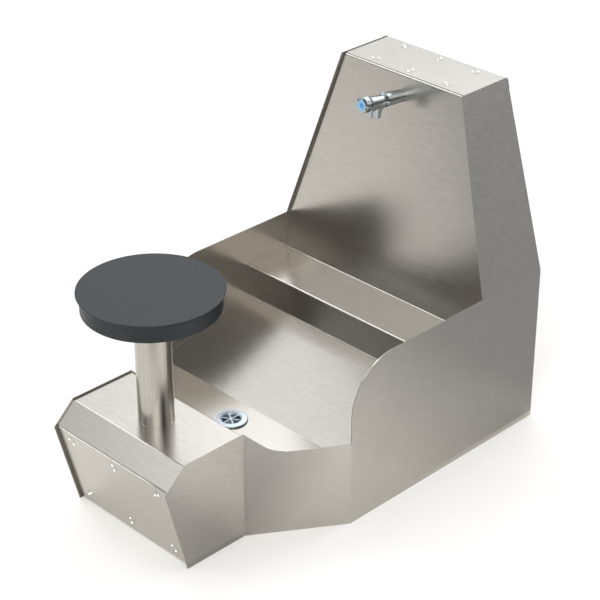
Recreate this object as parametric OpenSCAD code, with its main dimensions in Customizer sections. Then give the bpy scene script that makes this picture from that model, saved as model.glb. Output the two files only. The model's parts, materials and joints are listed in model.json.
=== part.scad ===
// Free standing ablution unit, folded from stainless sheet. A bench with a
// round seat stands in front of a foot basin with a floor waste. Behind the
// basin a tower carries a shelf, a splashback and a self closing push tap.
// X runs across, Y from the front to the back and Z up. The origin is on the
// floor under the middle of the space that the unit takes up. Inside this file
// depths are counted from the front knee, and in_place() moves them from there.

/* [Overall] */
// Width over the basin side walls
unit_w = 600; // [560:1:680]
// Depth from the front knee to the back lip
unit_d = 1000; // [980:1:1100]
// Height of the tower
unit_h = 800; // [760:1:900]
// Thickness of the folded sheet
sheet_t = 1.5; // [1:0.1:2]
// Radius inside each fold
fold_r = 2.5; // [1:0.1:3]

/* [Bench] */
// Width over the side panels along the bench
bench_w = 350; // [330:1:400]
// Depth of the bench from the knee to the basin
bench_d = 212; // [195:1:225]
// Height of the side panels along the bench
bench_h = 254; // [240:1:280]
// Height of the front knee
knee_h = 206; // [190:1:220]
// Depth of the sloping strip above the knee
slope_d = 53; // [40:1:60]
// Depth of the undercut below the knee
undercut_d = 53; // [40:1:60]
// Height of the side panels above the bench top
bench_edge = 4; // [2:0.5:6]
// Depth of the front panel behind the side panels' front edge
front_edge = 7; // [5:0.5:9]

/* [Basin] */
// Depth over which the side walls flare out to the full width
flare_d = 188; // [160:1:200]
// Height of the low side wall beside the basin
low_wall_h = 200; // [180:1:215]
// Angle of the wall's edge where it drops from the bench
drop_angle = 45; // [40:1:60]
// Radius at the foot of that drop
drop_r = 62; // [30:1:80]
// Height at which the curve up to the high wall starts
curve_start_h = 260; // [235:1:280]
// Radius of the curve up to the high wall
curve_r = 120; // [90:1:140]
// Height of the gutter floor
gutter_h = 150; // [135:1:165]
// Depth of the level gutter
gutter_d = 190; // [170:1:200]
// Rise of the sloping floor behind the gutter
floor_rise = 59; // [40:1:70]
// Radius of the hole for the waste
waste_hole_r = 27; // [25:0.5:29]
// Distance from the bench to the waste
waste_setback = 127; // [110:1:135]

/* [Tower] */
// Depth of the tower where it leaves the high wall
tower_base_d = 200; // [190:1:230]
// Depth of the tower at its top
tower_top_d = 150; // [140:1:160]
// Width over the side panels at the tower's top
tower_top_w = 350; // [330:1:400]
// Depth of the splashback behind the side panels' front edge
tower_edge = 8; // [5:0.5:10]
// Height of the shelf's front edge
shelf_h = 288; // [275:1:300]
// Depth of the shelf
shelf_d = 125; // [100:1:140]
// Rise of the shelf from its front edge to the splashback
shelf_fall = 3.6; // [1:0.1:6]
// Height of the side panels above the top cover
cover_edge = 2; // [1:0.5:4]
// Height of the cover's lip at the back
back_lip_h = 20; // [15:1:30]
// Width of the opening for services in the back panel
service_w = 220; // [150:1:260]
// Height of the opening for services
service_h = 130; // [90:1:140]
// Height of that opening's lower edge
service_sill_h = 70; // [50:1:90]
// Corner radius of the opening for services
service_r = 12; // [5:1:20]

/* [Seat] */
// Height of the seat's top
seat_h = 553; // [520:1:600]
// Radius of the seat's top
seat_r = 150; // [140:1:165]
// Distance that the top's lip stands out from the rim
seat_lip = 7; // [4:0.5:9]
// Thickness of the lip
seat_lip_t = 3; // [2:0.5:5]
// Thickness of the seat
seat_t = 42; // [36:1:50]
// Radius of the seat's lower edge
seat_edge_r = 3; // [1:0.5:6]
// Distance from the knee to the column
column_setback = 132.5; // [128:0.5:140]
// Outer diameter of the column
column_d = 76.1; // [60:0.1:80]
// Wall of the column
column_t = 2; // [1.5:0.1:4]
// Radius of the plate under the seat
seat_plate_r = 90; // [80:1:110]
// Thickness of the plates at both ends of the column
column_plate_t = 5; // [4:0.5:8]
// Width of the column's foot plate
foot_plate_w = 160; // [140:1:180]
// Depth of the column's foot plate
foot_plate_d = 84; // [80:1:90]

/* [Tap] */
// Distance from the tower's top down to the tap, at the splashback
tap_drop = 52; // [45:1:100]
// Reach of the tap from the splashback to the button's face
tap_reach = 121; // [110:1:140]
// Radius of the tap's body
tap_body_r = 13.5; // [13:0.1:14.5]
// Radius of the tap's head, round the valve
tap_head_r = 15.5; // [15:0.1:17]
// Length of the head
tap_head_l = 40; // [34:1:44]
// Radius of the push button
button_r = 17.5; // [16.5:0.1:20]
// Length of the push button
button_l = 14; // [12:0.5:16]
// Travel of the push button
button_travel = 6; // [3:0.5:6]
// Radius of the blue insert in the button
insert_r = 12; // [8:0.1:13]
// Radius of the spout
spout_r = 13; // [12:0.1:14]
// Distance from the button's face to the spout
spout_setback = 46; // [44:0.5:50]
// Drop of the spout's mouth below the tap's axis
spout_drop = 33; // [31:1:60]
// Radius of the tap's threaded tail
tap_tail_r = 10.48; // [8:0.01:10.48]
// Length of the tap's tail behind the splashback
tap_tail_l = 45; // [35:1:60]

/* [Waste] */
// Radius of the waste's flange
waste_flange_r = 36; // [33:0.5:45]
// Thickness of the waste's flange
waste_flange_t = 2.5; // [2:0.1:4]
// Radius of the grid
grid_r = 22.5; // [19:0.5:23]
// Width of each spoke of the grid
spoke_w = 3; // [1.5:0.1:4]
// Radius of the waste's threaded tail
waste_tail_r = 23.9; // [23.5:0.01:24]
// Length of the waste's tail below the basin floor
waste_tail_l = 62; // [50:1:90]

/* [Fixings] */
// Distance between the front panel's fixings across the unit
front_fix_pitch = 135; // [120:1:145]
// Distance from the knee to the upper fixings, along the panel
front_fix_top = 26; // [22:1:32]
// Distance from the floor to the lower fixings, along the panel
front_fix_bottom = 31; // [26:1:36]
// Distance between the top cover's fixings across the unit
cover_fix_pitch = 103; // [90:1:115]
// Distance from the side panels' top corner to the cover's front fixings
cover_fix_front = 34; // [30:1:38]
// Distance from the back to the cover's back fixings
cover_fix_back = 22; // [20:1:28]
// Radius of a fixing's head
fix_head_r = 11; // [10:0.5:12]
// Thickness of a fixing's head
fix_head_t = 0.5; // [0.4:0.1:2]
// Distance between the two driving holes in a head
fix_drive_pitch = 14; // [12:0.5:15]
// Radius of a driving hole
fix_drive_r = 2.4; // [1.5:0.1:2.5]
// Radius of a fixing's shank
fix_shank_r = 3; // [2.5:0.1:3]
// Length of a fixing's shank
fix_shank_l = 12; // [9:0.5:16]

/* [Floor] */
// Distance from the end of the flare to the front floor brackets
bracket_front = 50; // [30:1:100]
// Distance from the back to the back floor brackets
bracket_back = 60; // [55:1:100]
// Length of a floor bracket
bracket_l = 50; // [30:1:60]
// Width of each leg of a floor bracket
bracket_leg = 40; // [35:1:50]
// Radius of the holes for the floor anchors
anchor_r = 4.5; // [3.5:0.1:6]

/* [Hidden] */
$fn = 64;

// Overrun of a cutting solid past the face that it cuts
over = 1;
// Gap between a sheet's cut edge and the sheet that it is welded to
weld_gap = 0.2;
// Gap between the side panels and a panel that unscrews
panel_gap = 0.3;
// Gap between the cover's lip and the edges behind it
lip_gap = 0.3;
// Clearance of a screw in its hole
screw_gap = 0.3;
// Clearance of a thread that is drawn plain
thread_gap = 0.05;
// Clearance of the stem in its bore
stem_gap = 0.05;
// Clearance of the button round the collar
button_gap = 0.4;
// Steps in a fold
fold_steps = 6;
// Outer radius of a fold
fold_out_r = fold_r + sheet_t;

// Heights and depths of the side panels' outline
high_wall_h = curve_start_h + curve_r;
flare_end = bench_d + flare_d;
tower_foot = unit_d - tower_base_d;
tower_head = unit_d - tower_top_d;
side_back = unit_d - sheet_t - lip_gap;

// Middle of the unit's whole depth, as the seat can reach past the knee
middle_d = (unit_d + min(0, column_setback - seat_r)) / 2;

// The undercut front edge, as a direction down and an angle from upright
undercut_l = norm([undercut_d, knee_h]);
undercut_angle = atan2(undercut_d, knee_h);

// Flanges that take the screws
flange_l = 45;
rail_floor_leg = 26;
panel_end_gap = 4;
nut_r = 6.2;
nut_t = 5;

// Turns of the two driving holes, as the screws happened to end up
front_fix_turns = [[-37, -84, 30], [46, -87, -54]];
cover_fix_turns = [[39, 83, -37], [-37, 98, 49]];

// Stiffener below the sloping floor
stiffener_top_w = 40;
stiffener_h = 25;
stiffener_foot_w = 15;

// How far the tray runs on under the bench and the riser
tray_tuck = 15;

// Seat screws
seat_screw_r = 3.9;
seat_screw_circle_r = 65;
seat_screw_l = 24;
seat_screw_head_r = 7;
seat_screw_head_t = 4.5;
seat_screw_socket_r = 2.9;
seat_screw_socket_t = 2.5;
seat_screws_count = 4;

// Anchor holes in the column's foot plate
foot_hole_x = 62;
foot_hole_y = 28;

// Parts of the waste
grid_t = 2;
grid_recess = 1.2;
grid_hub_r = 3.5;
grid_rim_w = 1.4;
grid_spokes = 6;
waste_bore_r = 21.2;
waste_seal_t = 1.2;
waste_flange_bevel = 0.9;
waste_washer_t = 3;
waste_washer_r = 34;
waste_nut_r = 36;
waste_nut_t = 8;

// Relief groove below the nut of a threaded tail
relief_l = 2;
relief_depth = 0.8;

// Parts of the tap, counted along its axis from the splashback
stop_gap = 1;
head_back = tap_reach - button_l - button_travel - stop_gap - tap_head_l;
head_front = head_back + tap_head_l;
head_taper_l = 4;
head_bevel = 0.8;
cavity_r = 11.5;
cavity_back = 24;
waterway_r = 6.5;
collar_r = 14;
collar_bore_r = 8;
collar_thread_l = 8;
collar_nose_l = 11;
cartridge_r = 11.3;
cartridge_nose_r = 7.5;
cartridge_nose_l = 3;
cartridge_back = 30;
stem_r = 3;
stem_back = 70;
stem_bore_back = 60;
button_end_t = 3;
button_bevel = 1.2;
insert_t = 1.4;
insert_recess = 1.2;
insert_gap = 0.1;
spout_place = tap_reach - spout_setback;
spout_flare = 15;
spout_core_inset = 0.4;
spout_slices = 5;
spout_facets = 32;
slice_t = 0.1;
nozzle_r = 10;
nozzle_l = 8;
nozzle_gap = 0.1;
nozzle_inset = 1;
nozzle_hole_r = 1.6;
nozzle_ring_r = 5.5;
nozzle_holes = 8;
tap_hole_gap = 0.6;
tap_washer_r = 17;
tap_washer_t = 2;
tap_nut_r = 17.3;
tap_nut_t = 8;

// Return spring
spring_mean_r = 5.3;
spring_wire_r = 0.55;
spring_turns = 5;
spring_ring_steps = 10;
spring_sides = 6;
spring_end_gap = 0.1;

// Geometry in the plane

function unit_of(v) = v / norm(v);

function left_of(v) = [-v.y, v.x];

function spun(v, a) = [v.x * cos(a) - v.y * sin(a), v.x * sin(a) + v.y * cos(a)];

function turn(u, v) = atan2(u.x * v.y - u.y * v.x, u * v);

function backwards(list) = [for (i = [len(list) - 1 : -1 : 0]) list[i]];

// Where the line through p along a crosses the line through q along b
function meet(p, a, q, b) =
  p + a * ((q - p).x * b.y - (q - p).y * b.x) / (a.x * b.y - a.y * b.x);

// A path moved to its right by d, with sharp corners
function inset_path(path, d) = [
  for (i = [0 : len(path) - 1])
    let (
      u = unit_of(path[max(i, 1)] - path[max(i, 1) - 1]),
      k = min(i, len(path) - 2),
      v = unit_of(path[k + 1] - path[k])
    )
    path[i] - left_of(unit_of(u + v)) * d / cos(turn(u, v) / 2)
];

// The rounded corner q of a folded sheet, at one depth below its face
function fold_arc(p, q, r, depth) =
  let (
    u = unit_of(q - p),
    a = turn(u, unit_of(r - q)),
    s = sign(a),
    face_r = fold_r + (s < 0 ? sheet_t : 0),
    n = left_of(u),
    c = q - u * face_r * tan(abs(a) / 2) + n * s * face_r
  )
  [for (k = [0 : fold_steps]) c - spun(n, a * k / fold_steps) * s * (face_r + s * depth)];

function sheet_side(path, depth) =
  let (last = len(path) - 1)
  concat(
    [path[0] - left_of(unit_of(path[1] - path[0])) * depth],
    last < 2 ? [] : [for (i = [1 : last - 1]) each fold_arc(path[i - 1], path[i], path[i + 1], depth)],
    [path[last] - left_of(unit_of(path[last] - path[last - 1])) * depth]
  );

// Section of a sheet whose face follows a path, with the metal on its right
function sheet_section(path) =
  concat(sheet_side(path, 0), backwards(sheet_side(path, sheet_t)));

function both_sides(path) =
  concat(path, [for (p = backwards(path)) [-p.x, p.y]]);

// Lines of the section through the middle of the unit, as depth and height

tower_dir = unit_of([tower_head - tower_foot, unit_h - high_wall_h]);
tower_lean = atan2(tower_dir.x, tower_dir.y);
face_point = [tower_foot, high_wall_h] - left_of(tower_dir) * tower_edge;
level = [1, 0];

function face_at(z) = meet(face_point, tower_dir, [0, z], level);

shelf_back = face_at(shelf_h + shelf_fall);
shelf_front = [shelf_back.x - shelf_d, shelf_h];
gutter_end = [bench_d + gutter_d, gutter_h];
floor_end = [shelf_front.x, gutter_h + floor_rise];
floor_dir = unit_of(floor_end - gutter_end);
floor_angle = atan2(floor_dir.y, floor_dir.x);
cover_h = unit_h - cover_edge;
cover_seat_h = cover_h - sheet_t;
cover_front = face_at(cover_seat_h);
front_dir = unit_of([-undercut_d, knee_h]);
knee_point = [0, knee_h];
flange_point = knee_point - left_of(front_dir) * (front_edge + sheet_t);
slope_dir = unit_of([slope_d, bench_h - knee_h]);
slope_point = knee_point - left_of(slope_dir) * bench_edge;
bench_top_h = bench_h - bench_edge;
knee_corner = meet(flange_point, front_dir, slope_point, slope_dir);
knee_drop = (knee_point - knee_corner) * front_dir;
slope_corner = meet(slope_point, slope_dir, [0, bench_top_h], level);
seat_bottom_h = seat_h - seat_t;
column_top_h = seat_bottom_h - column_plate_t;
tap_point = face_at(unit_h - tap_drop);
waste_depth = bench_d + waste_setback;

// The right side panel's outer face seen from above and from the front
plan_face = [
  [unit_w / 2, side_back],
  [unit_w / 2, flare_end],
  [bench_w / 2, bench_d],
  [bench_w / 2, 0]
];
lean_face = [
  [tower_top_w / 2, unit_h],
  [unit_w / 2, high_wall_h],
  [unit_w / 2, 0]
];

// Placing and shaping

module in_place() {
  translate([0, -middle_d, 0]) children();
}

// Extrudes an outline of depth and height across the unit
module across(width) {
  rotate([90, 0, 90]) linear_extrude(width, center = true) children();
}

// Extrudes an outline of width and height from one depth to another
module along(from, to) {
  translate([0, to, 0]) rotate([90, 0, 0]) linear_extrude(to - from) children();
}

module both_hands() {
  children();
  mirror([1, 0, 0]) children();
}

// Frame of the undercut front: Z runs up along it and Y goes inwards
module front_frame() {
  translate([0, 0, knee_h]) rotate([undercut_angle, 0, 0]) children();
}

// Frame of the sloping floor: Y runs up along it and Z stands on it
module floor_frame() {
  translate([0, gutter_end.x, gutter_end.y]) rotate([floor_angle, 0, 0]) children();
}

// Frame of the tap: Z runs out along its axis from the splashback
module tap_frame() {
  in_place() translate([0, tap_point.x, tap_point.y]) rotate([90 - tower_lean, 0, 0]) children();
}

// Frame of the waste: Z runs up from the gutter's floor
module waste_frame() {
  in_place() translate([0, waste_depth, gutter_h]) children();
}

module ring(r_out, r_in, h) {
  difference() {
    cylinder(r = r_out, h = h);
    translate([0, 0, -over]) cylinder(r = r_in, h = h + 2 * over);
  }
}

module hex_nut(r_out, r_in, h) {
  difference() {
    cylinder(r = r_out, h = h, $fn = 6);
    translate([0, 0, -over]) cylinder(r = r_in, h = h + 2 * over);
  }
}

// A groove cut round a tail of radius r, below a nut that ends at a depth
module relief_groove(r, depth) {
  translate([0, 0, -depth - 2 * relief_l]) ring(r + over, r - relief_depth, relief_l);
}

// Side panels

module side_outline() {
  drop_h = bench_h - low_wall_h;
  drop_corner = bench_d + drop_h / tan(drop_angle);
  drop_cut = drop_r * tan(drop_angle / 2);
  drop_end = drop_corner + drop_cut;
  difference() {
    polygon([
      [undercut_d, 0],
      [0, knee_h],
      [slope_d, bench_h],
      [bench_d, bench_h],
      [drop_corner - drop_cut * cos(drop_angle), low_wall_h + drop_cut * sin(drop_angle)],
      [drop_end, low_wall_h],
      [flare_end, low_wall_h],
      [flare_end, high_wall_h],
      [tower_foot, high_wall_h],
      [tower_head, unit_h],
      [side_back, unit_h],
      [side_back, 0]
    ]);
    translate([drop_end, low_wall_h + drop_r]) circle(r = drop_r, $fn = 128);
    difference() {
      translate([flare_end - over, curve_start_h]) square([curve_r + over, curve_r + over]);
      translate([flare_end + curve_r, curve_start_h]) circle(r = curve_r, $fn = 128);
    }
  }
}

module side_panel() {
  upright_h = high_wall_h - fold_out_r;
  lean_path = [lean_face[0], lean_face[1], [unit_w / 2, upright_h - fold_out_r]];
  intersection() {
    union() {
      linear_extrude(upright_h) polygon(sheet_section(plan_face));
      along(flare_end + curve_r / 2, side_back) polygon(sheet_section(lean_path));
    }
    across(unit_w + 2 * over) side_outline();
  }
}

module side_panel_right() {
  color("#a9a49b") in_place() side_panel();
}

module side_panel_left() {
  color("#a9a49b") in_place() mirror([1, 0, 0]) side_panel();
}

// The space between the two side panels, less a gap on each side
module between_sides(gap) {
  inner = sheet_t + gap;
  plan = inset_path(concat([[unit_w / 2, unit_d + over]], [for (i = [1 : 3]) plan_face[i]]), inner);
  intersection() {
    linear_extrude(unit_h) polygon(both_sides(plan));
    along(0, unit_d + over) polygon(both_sides(inset_path(lean_face, inner)));
  }
}

// A sheet folded along a path of depth and height, trimmed between the sides
module cross_sheet(path) {
  intersection() {
    across(unit_w) polygon(sheet_section(path));
    between_sides(weld_gap);
  }
}

// Bench

module bench_top() {
  path = [
    knee_corner - front_dir * flange_l,
    knee_corner,
    slope_corner,
    [bench_d, bench_top_h],
    [bench_d, gutter_h + weld_gap]
  ];
  color("#d8d4cc") in_place() difference() {
    cross_sheet(path);
    translate([0, column_setback, gutter_h]) cylinder(r = column_d / 2 + weld_gap, h = bench_h);
    front_row_holes(-front_fix_top);
  }
}

// A row of holes for the front panel's screws, at one height along the front
module front_row_holes(z) {
  front_frame() for (x = [-1 : 1])
    translate([x * front_fix_pitch, 0, z]) rotate([-90, 0, 0])
      cylinder(r = fix_shank_r + screw_gap, h = flange_l);
}

module front_access_panel() {
  panel_w = bench_w - 2 * (sheet_t + panel_gap);
  color("#cfcac1") in_place() difference() {
    front_frame() translate([-panel_w / 2, front_edge, panel_end_gap - undercut_l])
      cube([panel_w, sheet_t, undercut_l - panel_end_gap - knee_drop - panel_gap]);
    front_row_holes(-front_fix_top);
    front_row_holes(front_fix_bottom - undercut_l);
  }
}

module front_bottom_rail() {
  floor_corner = meet(flange_point, front_dir, [0, 0], level);
  path = [
    floor_corner + level * rail_floor_leg,
    floor_corner,
    floor_corner + front_dir * flange_l
  ];
  color("#b5b0a7") in_place() difference() {
    cross_sheet(path);
    front_row_holes(front_fix_bottom - undercut_l);
  }
}

// Basin

module basin_tray() {
  path = [
    [bench_d - tray_tuck, gutter_h],
    gutter_end,
    floor_end + floor_dir * tray_tuck
  ];
  color("#d3cec6") difference() {
    in_place() cross_sheet(path);
    waste_frame() translate([0, 0, -over - sheet_t]) cylinder(r = waste_hole_r, h = sheet_t + 2 * over);
  }
}

module basin_stiffener() {
  half_w = stiffener_top_w / 2;
  path = [
    [-half_w - stiffener_foot_w, -stiffener_h],
    [-half_w, -stiffener_h],
    [-half_w, 0],
    [half_w, 0],
    [half_w, -stiffener_h],
    [half_w + stiffener_foot_w, -stiffener_h]
  ];
  middle = norm(floor_end - gutter_end) / 2;
  color("#b5b0a7") in_place() intersection() {
    floor_frame() translate([0, middle, -sheet_t]) across(unit_w) polygon(sheet_section(path));
    between_sides(weld_gap);
  }
}

// Tower

module splashback() {
  riser_foot = meet(gutter_end, floor_dir, [shelf_front.x + sheet_t, 0], left_of(level)).y + weld_gap;
  path = [
    [shelf_front.x, riser_foot],
    shelf_front,
    shelf_back,
    cover_front,
    cover_front + level * flange_l
  ];
  color("#bdb7ad") difference() {
    in_place() cross_sheet(path);
    cover_row_holes(tower_head + cover_fix_front);
    tap_frame() translate([0, 0, -sheet_t - over])
      cylinder(r = tap_tail_r + tap_hole_gap, h = sheet_t + 2 * over);
  }
}

// A row of holes for the top cover's screws
module cover_row_holes(depth) {
  in_place() for (x = [-1 : 1])
    translate([x * cover_fix_pitch, depth, cover_seat_h - sheet_t - over])
      cylinder(r = fix_shank_r + screw_gap, h = 2 * (sheet_t + over));
}

module top_access_cover() {
  path = [
    [cover_front.x + fold_out_r, cover_h],
    [unit_d, cover_h],
    [unit_d, cover_h - back_lip_h]
  ];
  color("#e2dfd8") difference() {
    in_place() intersection() {
      across(unit_w) polygon(sheet_section(path));
      union() {
        between_sides(panel_gap);
        along(side_back + lip_gap, unit_d + over) polygon(both_sides(lean_face));
      }
    }
    cover_row_holes(tower_head + cover_fix_front);
    cover_row_holes(unit_d - cover_fix_back);
  }
}

module back_panel() {
  path = [
    [side_back - flange_l, cover_seat_h],
    [side_back, cover_seat_h],
    [side_back, 0],
    [side_back - rail_floor_leg, 0]
  ];
  color("#aaa59c") difference() {
    in_place() cross_sheet(path);
    cover_row_holes(unit_d - cover_fix_back);
    in_place() along(side_back - sheet_t - over, side_back + over) service_outline();
  }
}

// Outline of the opening for services, with rounded corners
module service_outline() {
  top = service_sill_h + service_h;
  square_w = service_w - 2 * service_r;
  translate([-service_w / 2, service_sill_h + service_r]) square([service_w, service_h - 2 * service_r]);
  translate([-square_w / 2, service_sill_h]) square([square_w, service_h]);
  for (x = [-square_w / 2, square_w / 2], z = [service_sill_h + service_r, top - service_r])
    translate([x, z]) circle(r = service_r);
}

// Fixings

// A flat head screw with two driving holes. Z = 0 is the face it sits on
module security_screw() {
  difference() {
    union() {
      cylinder(r1 = fix_head_r, r2 = fix_head_r - fix_head_t / 2, h = fix_head_t);
      translate([0, 0, -fix_shank_l]) cylinder(r = fix_shank_r, h = fix_shank_l + fix_head_t / 2);
    }
    for (s = [-1, 1]) translate([s * fix_drive_pitch / 2, 0, fix_head_t / 3])
      cylinder(r = fix_drive_r, h = fix_head_t + over, $fn = 24);
  }
}

// Places a child at each front fixing, with Z out of the panel's face
module at_front_fixings(turns) {
  rows = [-front_fix_top, front_fix_bottom - undercut_l];
  in_place() front_frame() for (row = [0, 1], i = [0 : 2])
    translate([(i - 1) * front_fix_pitch, front_edge, rows[row]]) rotate([90, 0, 0]) rotate(turns[row][i])
      children();
}

// Places a child at each fixing of the top cover, with Z out of its face
module at_cover_fixings(turns) {
  rows = [tower_head + cover_fix_front, unit_d - cover_fix_back];
  in_place() for (row = [0, 1], i = [0 : 2])
    translate([(i - 1) * cover_fix_pitch, rows[row], cover_h]) rotate(turns[row][i])
      children();
}

module front_panel_screws() {
  color("#d6d2ca") at_front_fixings(front_fix_turns) security_screw();
}

module top_cover_screws() {
  color("#e6e3dc") at_cover_fixings(cover_fix_turns) security_screw();
}

// A nut welded behind the flange, below the panel and the flange
module weld_nut() {
  translate([0, 0, -2 * sheet_t - nut_t]) hex_nut(nut_r, fix_shank_r + thread_gap, nut_t);
}

module front_panel_nuts() {
  no_turns = front_fix_turns * 0;
  color("#9b978f") at_front_fixings(no_turns) weld_nut();
}

module top_cover_nuts() {
  no_turns = cover_fix_turns * 0;
  color("#9b978f") at_cover_fixings(no_turns) weld_nut();
}

// Seat

module seat_disc() {
  rim_r = seat_r - seat_lip;
  lip_edge_r = seat_lip_t / 2;
  color("#3d4346") in_place() translate([0, column_setback, seat_bottom_h]) difference() {
    rotate_extrude($fn = 128) {
      square([rim_r - seat_edge_r, seat_t]);
      translate([0, seat_edge_r]) square([rim_r, seat_t - seat_edge_r]);
      translate([rim_r - seat_edge_r, seat_edge_r]) circle(r = seat_edge_r);
      translate([0, seat_t - seat_lip_t]) square([seat_r - lip_edge_r, seat_lip_t]);
      translate([seat_r - lip_edge_r, seat_t - lip_edge_r]) circle(r = lip_edge_r);
    }
    at_seat_screws() translate([0, 0, -over])
      cylinder(r = seat_screw_r + thread_gap, h = seat_screw_l + 2 * over);
  }
}

module at_seat_screws() {
  for (i = [0 : seat_screws_count - 1])
    rotate(360 / seat_screws_count * (i + 0.5)) translate([seat_screw_circle_r, 0, 0]) children();
}

module seat_plate() {
  color("#b9b4ab") in_place() translate([0, column_setback, column_top_h]) difference() {
    cylinder(r = seat_plate_r, h = column_plate_t);
    at_seat_screws() translate([0, 0, -over])
      cylinder(r = seat_screw_r + screw_gap, h = column_plate_t + 2 * over);
  }
}

module seat_screws() {
  head_r = seat_screw_head_r;
  head_t = seat_screw_head_t;
  color("#8f8b84") in_place() translate([0, column_setback, column_top_h]) at_seat_screws() difference() {
    union() {
      translate([0, 0, -head_t]) cylinder(r1 = head_r - head_t / 3, r2 = head_r, h = head_t);
      cylinder(r = seat_screw_r, h = seat_screw_l);
    }
    translate([0, 0, -head_t - over])
      cylinder(r = seat_screw_socket_r, h = seat_screw_socket_t + over, $fn = 6);
  }
}

module seat_column() {
  color("#c8c3ba") in_place() translate([0, column_setback, column_plate_t])
    ring(column_d / 2, column_d / 2 - column_t, column_top_h - column_plate_t);
}

module column_foot_plate() {
  color("#a8a39a") in_place() translate([0, column_setback, 0]) difference() {
    translate([-foot_plate_w / 2, -foot_plate_d / 2, 0]) cube([foot_plate_w, foot_plate_d, column_plate_t]);
    for (x = [-foot_hole_x, foot_hole_x], y = [-foot_hole_y, foot_hole_y])
      translate([x, y, -over]) cylinder(r = anchor_r, h = column_plate_t + 2 * over);
  }
}

// Floor brackets

module floor_brackets() {
  side = unit_w / 2 - sheet_t;
  path = [[side, bracket_leg], [side, 0], [side - bracket_leg, 0]];
  places = [flare_end + bracket_front, unit_d - bracket_back];
  color("#a8a39a") in_place() both_hands() for (y = places) difference() {
    along(y - bracket_l / 2, y + bracket_l / 2) polygon(sheet_section(path));
    translate([side - bracket_leg / 2, y, -over]) cylinder(r = anchor_r, h = sheet_t + 2 * over);
  }
}

// Waste

// One opening of the grid, between two spokes
module grid_opening() {
  reach = grid_r * 2;
  half = 180 / grid_spokes;
  intersection() {
    difference() {
      circle(r = grid_r - grid_rim_w);
      circle(r = grid_hub_r);
    }
    translate([spoke_w / 2 / sin(half), 0])
      polygon([[0, 0], [reach * cos(half), -reach * sin(half)], [reach * cos(half), reach * sin(half)]]);
  }
}

module waste_body() {
  top = waste_seal_t + waste_flange_t;
  bevel = waste_flange_bevel;
  grid_bottom = top - grid_recess - grid_t;
  color("#ccd6dd") waste_frame() difference() {
    union() {
      translate([0, 0, waste_seal_t]) cylinder(r = waste_flange_r, h = waste_flange_t - bevel);
      translate([0, 0, top - bevel])
        cylinder(r1 = waste_flange_r, r2 = waste_flange_r - 2 * bevel, h = bevel);
      translate([0, 0, -waste_tail_l]) cylinder(r = waste_tail_r, h = waste_tail_l + top - bevel);
    }
    translate([0, 0, top - grid_recess])
      cylinder(r1 = grid_r, r2 = grid_r + 2 * grid_recess, h = grid_recess + over);
    relief_groove(waste_tail_r, sheet_t + waste_washer_t + waste_nut_t);
    translate([0, 0, -waste_tail_l - over])
      cylinder(r = waste_bore_r, h = waste_tail_l + over + grid_bottom);
    for (i = [0 : grid_spokes - 1])
      rotate(360 / grid_spokes * (i + 1 / 2)) translate([0, 0, grid_bottom - over])
        linear_extrude(grid_t + 2 * over) grid_opening();
  }
}

module waste_seal() {
  color("#2b2d2e") waste_frame() ring(waste_flange_r - waste_flange_t, waste_hole_r, waste_seal_t);
}

module waste_washer() {
  color("#2b2d2e") waste_frame() translate([0, 0, -sheet_t - waste_washer_t])
    ring(waste_washer_r, waste_tail_r + screw_gap, waste_washer_t);
}

module waste_backnut() {
  color("#c9a95f") waste_frame() translate([0, 0, -sheet_t - waste_washer_t - waste_nut_t])
    hex_nut(waste_nut_r, waste_tail_r + thread_gap, waste_nut_t);
}

// Tap

// One cross section of the spout, which swells towards the wall at its root
module spout_slice(i) {
  share = i / spout_slices;
  flare = spout_flare * (1 - sqrt(1 - pow(1 - share, 2)));
  depth = tap_body_r / 2 + (tap_body_r / 2 + spout_flare) * share;
  core_r = spout_r - spout_core_inset;
  translate([0, -flare / 2, depth]) linear_extrude(slice_t)
    scale([1, (core_r + flare / 2) / core_r]) circle(r = core_r, $fn = spout_facets);
}

// Frame of the spout: Z runs down out of its mouth and Y out along the tap
module spout_frame() {
  translate([0, 0, spout_place]) rotate([90, 0, 0]) children();
}

module tap_body() {
  color("#c3c9cd") tap_frame() difference() {
    union() {
      cylinder(r = tap_body_r, h = head_back + over);
      translate([0, 0, head_back - head_taper_l])
        cylinder(r1 = tap_body_r, r2 = tap_head_r, h = head_taper_l);
      translate([0, 0, head_back]) cylinder(r = tap_head_r, h = tap_head_l - head_bevel);
      translate([0, 0, head_front - head_bevel])
        cylinder(r1 = tap_head_r, r2 = tap_head_r - head_bevel, h = head_bevel);
      translate([0, 0, -tap_tail_l]) cylinder(r = tap_tail_r, h = tap_tail_l + over);
      spout_frame() cylinder(r = spout_r, h = spout_drop);
      spout_frame() for (i = [0 : spout_slices - 1]) hull() {
        spout_slice(i);
        spout_slice(i + 1);
      }
    }
    relief_groove(tap_tail_r, sheet_t + tap_washer_t + tap_nut_t);
    translate([0, 0, cavity_back]) cylinder(r = cavity_r, h = tap_reach);
    translate([0, 0, -tap_tail_l - over]) cylinder(r = waterway_r, h = tap_tail_l + cavity_back + 2 * over);
    spout_frame() cylinder(r = nozzle_r + nozzle_gap, h = spout_drop + over);
  }
}

module spout_nozzle() {
  top = spout_drop - nozzle_inset - nozzle_l;
  color("#8f979c") tap_frame() spout_frame() translate([0, 0, top]) difference() {
    cylinder(r = nozzle_r, h = nozzle_l);
    for (i = [0 : nozzle_holes - 1])
      rotate(360 / nozzle_holes * i) translate([nozzle_ring_r, 0, -over])
        cylinder(r = nozzle_hole_r, h = nozzle_l + 2 * over, $fn = 24);
    translate([0, 0, -over]) cylinder(r = nozzle_hole_r, h = nozzle_l + 2 * over, $fn = 24);
  }
}

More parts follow.
